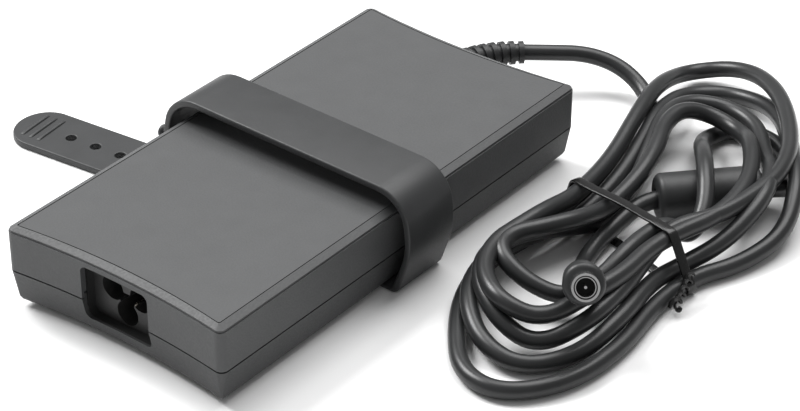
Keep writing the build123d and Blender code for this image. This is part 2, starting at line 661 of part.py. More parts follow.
def plug_body():
    """Moulded plug grip: a ribbed taper at the tail and a full round grip."""
    taper = Plane(origin=along_plug(0), z_dir=PLUG_AXIS)
    grip = Plane(origin=along_plug(PLUG_TAPER_LENGTH), z_dir=PLUG_AXIS)
    front = Plane(origin=along_plug(PLUG_TAPER_LENGTH + PLUG_GRIP_LENGTH), z_dir=PLUG_AXIS)
    body = loft([taper * Circle(PLUG_TAIL_RADIUS), grip * Circle(PLUG_TAPER_RADIUS)])
    body += loft([grip * Circle(PLUG_GRIP_BACK_RADIUS), front * Circle(PLUG_GRIP_RADIUS)])
    for index in range(PLUG_RIBS):
        start = along_plug(2 + index * PLUG_RIB_PITCH)
        body += ring(start, PLUG_AXIS, 3.9 + 0.3 * index, 1.0, 1.6)
    circles = body.edges().filter_by(GeomType.CIRCLE)
    rim = circles.group_by(lambda edge: edge.center().dot(PLUG_AXIS))[-1]
    bore_start = along_plug(PLUG_LENGTH - PLUG_BARREL_LENGTH - PLUG_ROOT_LENGTH)
    return fillet(rim, PLUG_GRIP_EDGE) - bar(bore_start, Vector(*PLUG_NOSE), PLUG_ROOT_RADIUS)


def plug_sleeves():
    """Return the plug's metal and plastic sleeves, outside first, and its centre pin."""
    shoulder = along_plug(PLUG_LENGTH - PLUG_BARREL_LENGTH)
    root = along_plug(PLUG_LENGTH - PLUG_BARREL_LENGTH - PLUG_ROOT_LENGTH)
    full = PLUG_BARREL_LENGTH + PLUG_ROOT_LENGTH
    pin_foot = along_plug(PLUG_LENGTH - PLUG_BARREL_LENGTH - 0.5)
    barrel = ring(shoulder, PLUG_AXIS, PLUG_BARREL_RADIUS, PLUG_SLEEVE_RADIUS, PLUG_BARREL_LENGTH)
    barrel += ring(root, PLUG_AXIS, PLUG_ROOT_RADIUS, PLUG_SLEEVE_RADIUS, PLUG_ROOT_LENGTH)
    return {
        "plug_barrel": barrel,
        "plug_insulator": ring(root, PLUG_AXIS, PLUG_SLEEVE_RADIUS, PLUG_CONTACT_RADIUS, full - 0.3),
        "plug_inner_contact": ring(root, PLUG_AXIS, PLUG_CONTACT_RADIUS, PLUG_BORE_RADIUS, full - 0.6),
        "plug_core": bar(root, pin_foot, PLUG_BORE_RADIUS),
        "plug_centre_pin": bar(pin_foot, along_plug(PLUG_LENGTH - 1), PLUG_PIN_RADIUS),
    }


# ---------------------------------------------------------------- rubber strap
def loop_face(inset, sole):
    """Return the loop's outline in the XZ plane, drawn in by inset at the sides and sole at the bottom."""
    moved = []
    for x, z in LOOP_CORNERS:
        new_x = x - math.copysign(inset, x)
        new_z = z - inset if z > 20 else max(z, sole)
        moved.append((new_x, new_z))
    radii = [max(radius - inset, 1.2) for radius in LOOP_RADII]
    return make_face(FilletPolyline(*moved, radius=radii, close=True))


def tail_frame():
    """Return the location of the tail's frame: its length runs along -X."""
    return Pos(0, STRAP_Y, 0) * Rot(0, 0, TAIL_YAW)


def strap_loop():
    """Rubber band round the case, with the peg for the tail's holes and the root of the tail."""
    start = Plane.XZ.offset(-(STRAP_Y + STRAP_WIDTH / 2))
    band = loop_face(0, 0) - loop_face(STRAP_THICKNESS, STRAP_SOLE)
    loop = extrude(start * band, amount=STRAP_WIDTH)
    root = block((-TAIL_HINGE, -STRAP_WIDTH / 2, 0), (-39.5, STRAP_WIDTH / 2, STRAP_THICKNESS))
    inside = extrude(start * loop_face(STRAP_THICKNESS, STRAP_SOLE), amount=STRAP_WIDTH)
    loop += tail_frame() * root - inside
    peg_y = STRAP_Y - math.sin(math.radians(TAIL_YAW)) * TAIL_HINGE
    loop += bar((-43.6, peg_y, PEG_Z), (-48.2, peg_y, PEG_Z), PEG_RADIUS)
    return loop + bar((-47.4, peg_y, PEG_Z), (-49.0, peg_y, PEG_Z), PEG_HEAD_RADIUS)


def strap_tail():
    """Flat end of the strap with a round tip, three holes and three grip ribs."""
    near = -(TAIL_HINGE + TAIL_GAP)
    middle = (near - TAIL_TIP) / 2
    plate = Pos(middle, 0) * Rectangle(near + TAIL_TIP, STRAP_WIDTH)
    plate = fillet(plate.vertices().group_by(Axis.X)[0], STRAP_WIDTH / 2 - 1.2)
    tail = extrude(plate, amount=STRAP_THICKNESS)
    for distance in TAIL_HOLES:
        tail -= post(-distance, 0, -1, STRAP_THICKNESS + 1, TAIL_HOLE_RADIUS)
    for distance in TAIL_RIBS:
        low = (-distance - RIB_HALF_WIDTH, -RIB_HALF_LENGTH, STRAP_THICKNESS)
        tail += block(low, (-distance + RIB_HALF_WIDTH, RIB_HALF_LENGTH, STRAP_THICKNESS + 0.6))
    return tail_frame() * tail


# ---------------------------------------------------------------- build every node
def build():
    """Make and save every node."""
    save("top_cover", top_cover())
    save("bottom_cover", bottom_cover())
    save("feet", feet())
    save("inlet_housing", inlet_housing())
    for name, place in zip(("line_pin", "neutral_pin", "earth_pin"), LOBE_OFFSETS):
        save(name, inlet_pin(place, PIN_RADIUS, True))
    save("circuit_board", circuit_board())
    save("insulation_sheet", insulation_sheet())
    for name, (low, high, lead_places) in PACKAGES.items():
        save(name, packaged(low, high, lead_places))
    for name, (centre, outside, inside, height, coils) in CHOKES.items():
        save(name + "_core", toroid_core(centre, outside, inside, height))
        save(name + "_winding", toroid_winding(centre, outside, inside, height, coils))
    save("reservoir_capacitor", lying_capacitor())
    save("transformer_core", transformer_core())
    save("transformer_bobbin", transformer_bobbin())
    save("transformer_winding", transformer_winding())
    save("primary_heat_sink", heat_sink(1, -20, 26))
    save("switching_transistor", power_package(1, 14))
    save("secondary_heat_sink", heat_sink(-1, 14, 58))
    save("output_rectifier", power_package(-1, 36))
    save("output_capacitors", output_capacitors())
    save("controller_chip", small_chip(-24, -2, 4, 5, 1.5, 4))
    save("optocoupler", small_chip(-22, 9, 6.4, 4.6, 3.4, 2))
    save("output_leads", output_leads())
    save("strain_relief", strain_relief())
    hank = cord_hank()
    save("cord_lead", tube("cord_lead", lead_route()) - hank)
    save("cord_hank", hank)
    save("cord_end", tube("cord_end", end_route()) - hank)
    save("twist_tie", twist_tie())
    save("ferrite_cover", ferrite_cover())
    save("ferrite_core", ferrite_core())
    save("plug_body", plug_body())
    for name, shape in plug_sleeves().items():
        save(name, shape)
    save("strap_loop", strap_loop())
    save("strap_tail", strap_tail())


build()
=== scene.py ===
import json
import math

import bmesh
import bpy
import numpy as np
from mathutils import Matrix, Vector


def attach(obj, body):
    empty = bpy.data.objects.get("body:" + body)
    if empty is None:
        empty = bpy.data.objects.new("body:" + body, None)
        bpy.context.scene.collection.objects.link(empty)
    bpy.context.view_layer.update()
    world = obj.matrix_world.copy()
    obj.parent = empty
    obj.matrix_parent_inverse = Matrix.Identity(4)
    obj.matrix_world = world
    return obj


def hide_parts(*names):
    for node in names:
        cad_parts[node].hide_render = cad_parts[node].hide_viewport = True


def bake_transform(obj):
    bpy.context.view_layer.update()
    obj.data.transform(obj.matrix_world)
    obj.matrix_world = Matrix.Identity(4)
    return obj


# A laptop power adapter: case, rubber strap, wound low-voltage cord with its plug and ferrite.
# Lengths named below are millimetres in the model's own frame, +Z up, and become metres at MM.
MM = 0.001

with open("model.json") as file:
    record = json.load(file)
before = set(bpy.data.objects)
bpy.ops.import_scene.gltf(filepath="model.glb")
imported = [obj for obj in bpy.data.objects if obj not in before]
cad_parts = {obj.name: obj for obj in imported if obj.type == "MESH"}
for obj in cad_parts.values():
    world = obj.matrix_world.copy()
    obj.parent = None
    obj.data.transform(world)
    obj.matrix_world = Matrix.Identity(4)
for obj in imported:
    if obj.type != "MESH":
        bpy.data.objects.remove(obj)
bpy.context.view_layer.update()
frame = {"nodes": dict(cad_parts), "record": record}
NODES = frame["nodes"]


# ---------------------------------------------------------------- camera
CAMERA_TARGET = (15.5, 24.5, 1.2)
CAMERA_AZIMUTH = 38.11
CAMERA_ELEVATION = 33.36
CAMERA_ROLL = 0.20
CAMERA_DISTANCE = 755.0
CAMERA_LENS = 119.6
CAMERA_SHIFT = (-0.00125, 0.0006)


def make_camera():
    """Camera at the photograph's viewing angle."""
    azimuth = math.radians(CAMERA_AZIMUTH)
    elevation = math.radians(CAMERA_ELEVATION)
    roll = math.radians(CAMERA_ROLL)
    flat = math.cos(elevation)
    back = Vector((math.sin(azimuth) * flat, -math.cos(azimuth) * flat, math.sin(elevation)))
    level = Vector((math.cos(azimuth), math.sin(azimuth), 0))
    upright = back.cross(level)
    right = math.cos(roll) * level + math.sin(roll) * upright
    up = math.cos(roll) * upright - math.sin(roll) * level
    data = bpy.data.cameras.new("camera")
    data.lens = CAMERA_LENS
    data.sensor_width = 36
    data.clip_start = 0.01
    data.shift_x, data.shift_y = CAMERA_SHIFT
    camera = bpy.data.objects.new("camera", data)
    bpy.context.scene.collection.objects.link(camera)
    place = (Vector(CAMERA_TARGET) + back * CAMERA_DISTANCE) * MM
    camera.matrix_world = Matrix.Translation(place) @ Matrix((right, up, back)).transposed().to_4x4()
    bpy.context.scene.camera = camera


# ---------------------------------------------------------------- the cord's route
CORD_RADIUS = 2.5
RELIEF_TIP = (3.0, 101.0, 12.4)
LEAD_ROUTE = [
    (9.0, 105.6, 12.4), (17.2, 113.2, 11.6), (26.2, 117.4, 9.0), (35.8, 116.2, 5.6),
    (43.8, 110.0, 3.4), (49.3, 100.4, 2.6), (51.8, 86.0, 2.5), (54.3, 68.0, 2.5),
]

# The hank's turns lie between these two outlines, seen from above: down the left of the waist, round
# the near lobe, up the right and round the far lobe.
OUTER = [
    (55, 50), (54, 34), (52, 17), (56, 0), (65, -15), (77, -29), (91, -30),
    (102, -15), (104, 6), (100, 27), (101, 44), (108, 58), (111, 76), (104, 93),
    (93, 108), (76, 129), (55.5, 143), (39, 136.5), (42, 115), (46.5, 97), (52, 74),
]
INNER = [
    (70, 50), (69, 36), (64, 27), (58, 18), (61, 9), (72, 7), (82, 11),
    (87, 20), (87, 31), (86, 42), (87, 50), (93, 61), (94, 75), (92, 87),
    (85, 98), (77, 107), (66, 109), (59.5, 102), (60, 91), (66, 79), (70, 66),
]
# Each turn's share of the way from the inner outline to the outer one, at these stations.
SHARE_STATIONS = [0, 3, 5, 7, 10, 12, 13, 14, 15, 16, 18]
TURN_SHARES = [
    [0.98, 1.00, 1.00, 1.00, 0.97, 1.00, 1.00, 1.00, 1.00, 0.75, 0.60],
    [0.63, 0.80, 0.69, 0.72, 0.64, 0.55, 0.45, 0.38, 0.42, 0.30, 0.28],
    [0.28, 0.52, 0.46, 0.50, 0.28, 0.35, 0.65, 1.00, 1.00, 1.00, 1.00],
    [0.82, 0.35, 0.45, 0.30, 0.48, 0.15, 0.02, 0.02, 0.02, 0.02, 0.04],
    [0.10, 0.02, 0.00, 0.00, 0.14],
]
# How high each turn lies in the pile: left of the waist, near lobe, right of the waist, far lobe.
LAYER_STATIONS = [0, 5, 10, 15]
TURN_LAYERS = [[0, 1, 1, 1], [1, 1.2, 1.1, 2], [1.1, 1.4, 1.2, 5], [2, 5, 2.1, 4], [2.1, 2, 2.2]]
HIGHEST = 13.0

FINAL_ROUTE = [
    (94, 53, 8), (93, 62, 12.5), (85.5, 73, 17.5), (77.5, 84, 15.5), (70, 96, 8), (65, 107, 3),
    (69, 118, 2.5), (82, 119, 2.5), (95, 108, 3.2), (101.5, 95, 6),
]
FERRITE_CENTRE = Vector((85.0, 76.2, 7.2))
FERRITE_HEADING = 47.0
FERRITE_HALF = 15.0
FERRITE_RADIUS = 7.0
# The cord's points along the ferrite's axis, from its middle, and along the plug's, from its tail.
FERRITE_STATIONS = (17, 0, -18)
PLUG_STATIONS = (-10, 1)
GAP_ROUTE = [(71.3, 50.0, 4.4), (71.6, 38.5, 2.8)]
PLUG_NOSE = Vector((100.2, -7.2, 27.3))
PLUG_HEADING = 36.1
PLUG_TILT = 30.0
PLUG_LENGTH = 39.5
SAME_STRAND = 22.0
STEEPEST_HUMP = 0.36
SETTLING_ROUNDS = 90
SETTLING_STEPS = 8
# A control point lifts with the line where it has more than this share in it.
LIFTING_WEIGHT = 0.3
# Within one layer, each later point of the route counts as this much higher in the pile.
PILE_ORDER = 1e-5
SETTLING_SHARE = 0.6
SMALLEST_RISE = 0.03
TIE_CENTRE = (80.2, 46.4)
TIE_HEADING = -16.0
TIE_WIDTH = 3.0
TIE_THICKNESS = 0.8
TIE_GAP = 0.05
TIE_REACH = (34.0, 1.2)
TIE_WAVE = 0.25
# The twisted ends: height where they start, how far they run, their half turns and their oval section.
TIE_END_START = 7.0
TIE_END_RUN = (4.5, -9.5, -4.2)
TIE_HALF_TWISTS = 5
TIE_END_WIDE = 0.75
TIE_END_NARROW = 0.3


def along_ferrite(distance):
    """Point on the ferrite's axis, that far from its middle."""
    heading = math.radians(FERRITE_HEADING)
    return FERRITE_CENTRE + distance * Vector((math.cos(heading), math.sin(heading), 0))


def along_plug(distance):
    """Point on the plug's axis, that far from its tail."""
    heading = math.radians(PLUG_HEADING)
    tilt = math.radians(PLUG_TILT)
    flat = math.cos(tilt)
    axis = Vector((math.sin(heading) * flat, -math.cos(heading) * flat, math.sin(tilt)))
    return PLUG_NOSE + axis * (distance - PLUG_LENGTH)


def turn_points():
    """The hank's points in order, with the layer of each."""
    points = []
    layers = []
    for turn, shares in enumerate(TURN_SHARES):
        whole = len(shares) == len(SHARE_STATIONS)
        stations = SHARE_STATIONS[:len(shares)]
        heights = TURN_LAYERS[turn]
        heights_at = LAYER_STATIONS[:len(heights)]
        if whole:
            stations = stations + [len(OUTER)]
            shares = shares + [TURN_SHARES[turn + 1][0]]
            heights_at = heights_at + [len(OUTER)]
            heights = heights + [TURN_LAYERS[turn + 1][0]]
        for station in range(len(OUTER) if whole else stations[-1] + 1):
            share = float(np.interp(station, stations, shares))
            inner = Vector(INNER[station])
            flat = inner + (Vector(OUTER[station]) - inner) * share
            points.append((flat.x, flat.y, CORD_RADIUS))
            layers.append(float(np.interp(station, heights_at, heights)))
    return points, layers


def spline_weights(count, steps):
    """Matrix that takes a quadratic spline's control points to points along it."""
    rows = []
    for first in range(count - 2):
        for step in range(steps):
            t = step / steps
            start, middle, end = (1 - t) ** 2, 2 * t * (1 - t), t * t
            row = np.zeros(count)
            row[first + 1] += middle
            row[first] += start if first == 0 else start / 2
            row[first + 1] += 0 if first == 0 else start / 2
            row[first + 2] += end if first == count - 3 else end / 2
            row[first + 1] += 0 if first == count - 3 else end / 2
            rows.append(row)
    return np.array(rows)


def missing_height(line, run, pile):
    """How much each point of the line has to rise to clear the strands that lie lower in the pile."""
    flat = np.linalg.norm(line[:, None, :2] - line[None, :, :2], axis=2)
    near = flat < 2 * CORD_RADIUS
    near &= np.abs(run[:, None] - run[None, :]) > SAME_STRAND
    near &= pile[:, None] > pile[None, :]
    gap = np.sqrt(np.maximum((2 * CORD_RADIUS) ** 2 - flat ** 2, 0))
    needed = gap + line[None, :, 2] - line[:, None, 2]
    return np.where(near, needed, 0).max(axis=1)


def missing_over_ferrite(line):
    """How much each point has to rise to clear the ferrite's cover."""
    heading = math.radians(FERRITE_HEADING)
    offset = line[:, :2] - np.array(FERRITE_CENTRE[:2])
    along = offset @ np.array((math.cos(heading), math.sin(heading)))
    aside = offset @ np.array((-math.sin(heading), math.cos(heading)))
    reach = FERRITE_RADIUS + CORD_RADIUS
    top = FERRITE_CENTRE.z + np.sqrt(np.maximum(reach ** 2 - aside ** 2, 0))
    over = (np.abs(along) < FERRITE_HALF + CORD_RADIUS) & (np.abs(aside) < reach)
    return np.where(over, top - line[:, 2], 0)


def settle(points, layers, free):
    """Raise the free points, in long low humps, towards resting on the strands lower in the pile.

    No point rises above HIGHEST, so where the pile is deep the strands still cut into each other.
    """
    points = np.array(points, float)
    free = np.array(free)
    weights = spline_weights(len(points), SETTLING_STEPS)
    pile = weights @ np.array(layers) + weights.argmax(axis=1) * PILE_ORDER
    movable = free[weights.argmax(axis=1)]
    for _ in range(SETTLING_ROUNDS):
        line = weights @ points
        run = np.concatenate([[0], np.cumsum(np.linalg.norm(np.diff(line[:, :2], axis=0), axis=1))])
        rise = np.maximum(missing_height(line, run, pile), missing_over_ferrite(line))
        rise = np.where(movable & (rise > SMALLEST_RISE), rise, 0)
        lift = np.where(weights > LIFTING_WEIGHT, rise[:, None], 0).max(axis=0) * SETTLING_SHARE
        points[free, 2] = np.minimum(points[free, 2] + lift[free], HIGHEST)
        for order in (range(1, len(points)), range(len(points) - 2, -1, -1)):
            back = -1 if order.step == 1 else 1
            for index in order:
                if free[index]:
                    step = np.linalg.norm(points[index, :2] - points[index + back, :2])
                    low = points[index + back, 2] - STEEPEST_HUMP * step
                    points[index, 2] = max(points[index, 2], low)
    return [tuple(point) for point in points]


def cord_points():
    """The whole cord's route from the strain relief to the plug."""
    turns, layers = turn_points()
    start = [RELIEF_TIP] + LEAD_ROUTE
    through_ferrite = [tuple(along_ferrite(distance)) for distance in FERRITE_STATIONS]
    into_plug = [tuple(along_plug(distance)) for distance in PLUG_STATIONS]
    end = FINAL_ROUTE + through_ferrite + GAP_ROUTE + into_plug
    points = start + turns + end
    pile = [0] * len(start) + layers + [0] * len(end)
    free = [False] * len(start) + [True] * len(turns) + [False] * len(end)
    return settle(points, pile, free)


def make_cord(points, material):
    """The cord as one smooth spline."""
    data = bpy.data.curves.new("cord", "CURVE")
    data.dimensions = "3D"
    data.bevel_depth = CORD_RADIUS * MM
    data.bevel_resolution = 6
    data.resolution_u = 8
    spline = data.splines.new("NURBS")
    spline.points.add(len(points) - 1)
    for control, point in zip(spline.points, points):
        control.co = (*(Vector(point) * MM), 1)
    spline.order_u = 3
    spline.use_endpoint_u = True
    cord = bpy.data.objects.new("cord", data)
    bpy.context.scene.collection.objects.link(cord)
    data.materials.append(material)
    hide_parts("cord_lead", "cord_hank", "cord_end")
    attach(cord, "case")
    return cord


# ---------------------------------------------------------------- materials
# Sizes of the slow colour changes and of the moulded grain, in features per metre.
PATCH = 140.0
FINE_GRAIN = 2600.0
CASE_GRAIN = 1700.0
GRAIN_DEPTH = 0.00012
SPECULAR = 0.38


def node(tree, kind, **values):
    """Add a shader node and set its properties and its inputs by name."""
    made = tree.nodes.new(kind)
    for name, value in values.items():
        if hasattr(made, name):
            setattr(made, name, value)
        else:
            made.inputs[name.replace("_", " ")].default_value = value
    return made


def noise(tree, scale, detail=3.0):
    """Noise in the object's own coordinates; scale is in features per metre."""
    where = node(tree, "ShaderNodeTexCoord")
    made = node(tree, "ShaderNodeTexNoise", Scale=scale, Detail=detail)
    tree.links.new(where.outputs["Object"], made.inputs["Vector"])
    return made


def remap(tree, source, low, high):
    """Stretch a noise value's usual range to low..high."""
    made = node(tree, "ShaderNodeMapRange")
    made.inputs["From Min"].default_value = 0.3
    made.inputs["From Max"].default_value = 0.7
    made.inputs["To Min"].default_value = low
    made.inputs["To Max"].default_value = high
    tree.links.new(source, made.inputs["Value"])
    return made.outputs["Result"]


def surface(name, dark, light, rough, patch=PATCH, grain=FINE_GRAIN, bump=0.12, metallic=0.0):
    """Material with slow colour and gloss changes and a fine moulded grain."""
    made = bpy.data.materials.new(name)
    made.use_nodes = True
    tree = made.node_tree
    shader = tree.nodes["Principled BSDF"]
    shader.inputs["Metallic"].default_value = metallic
    shader.inputs["Specular IOR Level"].default_value = SPECULAR
    slow = noise(tree, patch)
    ramp = node(tree, "ShaderNodeValToRGB")
    ramp.color_ramp.elements[0].position = 0.3
    ramp.color_ramp.elements[0].color = (*dark, 1)
    ramp.color_ramp.elements[1].position = 0.7
    ramp.color_ramp.elements[1].color = (*light, 1)
    tree.links.new(slow.outputs["Fac"], ramp.inputs["Fac"])
    tree.links.new(ramp.outputs["Color"], shader.inputs["Base Color"])
    fine = noise(tree, grain, 2.0)
    tree.links.new(remap(tree, fine.outputs["Fac"], *rough), shader.inputs["Roughness"])
    relief = node(tree, "ShaderNodeBump", Strength=bump, Distance=GRAIN_DEPTH)
    tree.links.new(fine.outputs["Fac"], relief.inputs["Height"])
    tree.links.new(relief.outputs["Normal"], shader.inputs["Normal"])
    return made


def grey(value, tint=0.0):
    """A near-neutral colour, a little cooler with tint."""
    return (value * (1 - tint), value, value * (1 + tint))


def plastic_looks():
    """Greys and blacks of the case, cord, strap and other moulded pieces."""
    return {
        "case_top": dict(dark=grey(0.063, 0.02), light=grey(0.068, 0.02),
                         rough=(0.5, 0.62), grain=CASE_GRAIN, bump=0.5),
        "case_base": dict(dark=grey(0.048, 0.02), light=grey(0.052, 0.02),
                          rough=(0.5, 0.62), grain=CASE_GRAIN, bump=0.5),
        "rubber_foot": dict(dark=grey(0.012), light=grey(0.017), rough=(0.7, 0.85)),
        "inlet_plastic": dict(dark=grey(0.020), light=grey(0.024), rough=(0.4, 0.5), bump=0.2),
        "cord_sheath": dict(dark=grey(0.018, 0.03), light=grey(0.024, 0.03),
                            rough=(0.30, 0.40), patch=60.0, bump=0.06),
        "relief_rubber": dict(dark=grey(0.018, 0.03), light=grey(0.024, 0.03), rough=(0.4, 0.5), bump=0.1),
        "tie_plastic": dict(dark=grey(0.007), light=grey(0.010), rough=(0.18, 0.28), bump=0.05),
        "ferrite_plastic": dict(dark=grey(0.018, 0.03), light=grey(0.023, 0.03),
                                rough=(0.42, 0.52), bump=0.15),
        "plug_plastic": dict(dark=grey(0.018, 0.03), light=grey(0.024, 0.03),
                             rough=(0.38, 0.48), bump=0.12),
        "plug_insulation": dict(dark=grey(0.005), light=grey(0.007), rough=(0.4, 0.5)),
        "strap_rubber": dict(dark=grey(0.030, 0.03), light=grey(0.035, 0.03), rough=(0.42, 0.52), bump=0.2),
        "wire_insulation": dict(dark=grey(0.015), light=grey(0.022), rough=(0.35, 0.45)),
        "bobbin_plastic": dict(dark=grey(0.03), light=grey(0.04), rough=(0.45, 0.55)),
    }


def metal_looks():
    """Contacts, heat sinks and copper."""
    return {
        "pin_metal": dict(dark=(0.62, 0.58, 0.5), light=(0.7, 0.66, 0.57), rough=(0.2, 0.32), metallic=1.0),
        "copper": dict(dark=(0.55, 0.22, 0.1), light=(0.68, 0.3, 0.14), rough=(0.22, 0.32), metallic=1.0),
        "heat_sink_metal": dict(dark=grey(0.55), light=grey(0.62), rough=(0.3, 0.42), metallic=1.0),
        "plug_metal": dict(dark=grey(0.8), light=grey(0.88), rough=(0.12, 0.2), metallic=1.0, bump=0.03),
    }


def component_looks():
    """The board and what stands on it."""
    return {
        "board": dict(dark=(0.02, 0.10, 0.04), light=(0.03, 0.14, 0.06), rough=(0.3, 0.4), patch=90.0),
        "sheet_plastic": dict(dark=(0.6, 0.56, 0.45), light=(0.68, 0.64, 0.5), rough=(0.4, 0.5)),
        "component_black": dict(dark=grey(0.018), light=grey(0.026), rough=(0.5, 0.6)),
        "component_yellow": dict(dark=(0.62, 0.42, 0.05), light=(0.7, 0.5, 0.07), rough=(0.25, 0.35)),
        "component_blue": dict(dark=(0.05, 0.15, 0.45), light=(0.07, 0.2, 0.52), rough=(0.3, 0.4)),
        "ferrite": dict(dark=grey(0.035), light=grey(0.05), rough=(0.5, 0.65), metallic=0.4),
        "winding_tape": dict(dark=(0.6, 0.5, 0.1), light=(0.7, 0.58, 0.13), rough=(0.25, 0.35)),
        "capacitor_sleeve": dict(dark=(0.02, 0.025, 0.06), light=(0.03, 0.035, 0.08), rough=(0.25, 0.35)),
    }


def make_materials():
    """One material for each of the record's material slots."""
    looks = plastic_looks() | metal_looks() | component_looks()
    return {slot: surface(slot, **look) for slot, look in looks.items()}


def paint_nodes(materials):
    """Give each CAD node the material of its slot."""
    for row in frame["record"]["subparts"]:
        for place in NODES[row["node"]].material_slots:
            place.material = materials[row["material_slot"]]


# ---------------------------------------------------------------- helpers for new meshes
def new_object(name, mesh, material):
    """Link a smooth-shaded mesh as an object with one material."""
    made = bpy.data.objects.new(name, mesh)
    bpy.context.scene.collection.objects.link(made)
    mesh.materials.append(material)
    for face in mesh.polygons:
        face.use_smooth = True
    return made


def grid_mesh(name, rows, close_rows, close_columns):
    """Mesh from rows of points, with faces between neighbouring rows and columns."""
    made = bmesh.new()
    verts = [[made.verts.new(Vector(point) * MM) for point in row] for row in rows]
    count = len(rows)
    width = len(rows[0])
    for row in range(count if close_rows else count - 1):
        for column in range(width if close_columns else width - 1):
            beside = (column + 1) % width
            after = (row + 1) % count
            corners = (verts[row][column], verts[row][beside], verts[after][beside], verts[after][column])
            made.faces.new(corners)
    if close_columns and not close_rows:
        made.faces.new(verts[0][::-1])
        made.faces.new(verts[-1])
    bmesh.ops.recalc_face_normals(made, faces=made.faces)
    mesh = bpy.data.meshes.new(name)
    made.to_mesh(mesh)
    made.free()
    return mesh


def rounded_section(width, thickness, radius, steps=4):
    """Outline of a flat strip's section as (across, up) pairs about its middle."""
    outline = []
    corners = [(1, 1, 0), (-1, 1, 90), (-1, -1, 180), (1, -1, 270)]
    for across, up, turn in corners:
        for step in range(steps + 1):
            angle = math.radians(turn + 90 * step / steps)
            x = across * (width / 2 - radius) + radius * math.cos(angle)
            z = up * (thickness / 2 - radius) + radius * math.sin(angle)
            outline.append((x, z))
    return outline


# ---------------------------------------------------------------- rubber strap
STRAP_WIDTH = 19.5
STRAP_Y = 0.8
STRAP_THICKNESS = 2.0
STRAP_SOLE = 1.0
LOOP_CORNERS = [(-41.6, 33.4), (43.4, 32.2), (45.3, 14.5), (40.4, 0.0), (-40.4, 0.0), (-45.0, 14.5)]
LOOP_RADII = [12.0, 11.0, 26.0, 2.6, 2.6, 26.0]
TAIL_YAW = 6.2
TAIL_START = 41.0
TAIL_HINGE = 51.0
TAIL_TIP = 102.0
TAIL_HOLES = [65.0, 74.0, 83.0]
TAIL_HOLE_RADIUS = 1.6
TAIL_RIBS = [90.5, 93.5, 96.5]
RIB_HALF_LENGTH = 6.5
RIB_HALF_WIDTH = 0.7
RIB_HEIGHT = 0.65
PEG_Z = 16.0
# The peg's radius at each X, from its root to the middle of its rounded head.
PEG_PROFILE = [
    (-43.4, 1.3), (-46.6, 1.3), (-47.1, 1.5), (-47.5, 1.9),
    (-48.0, 2.0), (-48.5, 1.9), (-48.9, 1.4), (-49.0, 0.4),
]
# The tail is cut across at this spacing near its root, this many times.
BEND_CUT = 0.7
BEND_CUTS = 44


def rounded_outline(corners, radii, steps):
    """Closed outline with each corner rounded, and the same number of points whatever the radii."""
    outline = []
    count = len(corners)
    for index, corner in enumerate(corners):
        here = Vector(corner)
        before = (Vector(corners[index - 1]) - here).normalized()
        after = (Vector(corners[(index + 1) % count]) - here).normalized()
        half = before.angle(after) / 2
        radius = radii[index]
        centre = here + (before + after).normalized() * radius / math.sin(half)
        first = here + before * radius / math.tan(half) - centre
        last = here + after * radius / math.tan(half) - centre
        sweep = first.angle_signed(last)
        start = math.atan2(first.y, first.x)
        for step in range(steps + 1):
            angle = start - sweep * step / steps
            outline.append(centre + radius * Vector((math.cos(angle), math.sin(angle))))
    return outline


def drawn_in(inset, sole):
    """The loop's corners and radii, drawn in by inset at the sides and top and by sole at the bottom."""
    corners = []
    for x, z in LOOP_CORNERS:
        new_z = z - inset if z > 20 else max(z, sole)
        corners.append((x - math.copysign(inset, x), new_z))
    return corners, [max(radius - inset, 1.2) for radius in LOOP_RADII]


def loop_mesh():
    """Rubber band round the case with soft edges."""
    outside = rounded_outline(LOOP_CORNERS, LOOP_RADII, 10)
    inside = rounded_outline(*drawn_in(STRAP_THICKNESS, STRAP_SOLE), 10)
    section = rounded_section(STRAP_WIDTH, STRAP_THICKNESS, 0.55)
    rows = []
    for out, inn in zip(outside, inside):
        row = []
        for across, up in section:
            share = 0.5 - up / STRAP_THICKNESS
            flat = out + (inn - out) * share
            row.append((flat.x, STRAP_Y + across, flat.y))
        rows.append(row)
    return grid_mesh("strap_loop_band", rows, True, True)


def tail_point(x, y, z):
    """A point of the tail's own frame in the model's frame."""
    yaw = math.radians(TAIL_YAW)
    return (x * math.cos(yaw) - y * math.sin(yaw), STRAP_Y + x * math.sin(yaw) + y * math.cos(yaw), z)


def tail_outline():
    """Plan of the tail: straight sides and a round tip."""
    half = STRAP_WIDTH / 2
    tip = half - 0.6
    outline = [(-TAIL_START, half), (-TAIL_START, -half)]
    for step in range(25):
        angle = math.radians(270 - 180 * step / 24)
        outline.append((-(TAIL_TIP - tip) + tip * math.cos(angle), half * math.sin(angle)))
    return outline


def flat_curve(name, outlines):
    """Filled flat curve with soft edges, from closed outlines in the tail's frame."""
    edge = 0.35
    data = bpy.data.curves.new(name, "CURVE")
    data.dimensions = "2D"
    data.fill_mode = "BOTH"
    data.extrude = (STRAP_THICKNESS / 2 - edge) * MM
    data.bevel_depth = edge * MM
    data.bevel_resolution = 3
    data.offset = -edge * MM
    for outline in outlines:
        spline = data.splines.new("POLY")
        spline.points.add(len(outline) - 1)
        for control, (x, y) in zip(spline.points, outline):
            control.co = (x * MM, y * MM, 0, 1)
        spline.use_cyclic_u = True
    made = bpy.data.objects.new(name, data)
    mesh = bpy.data.meshes.new_from_object(made)
    bpy.data.objects.remove(made)
    return mesh


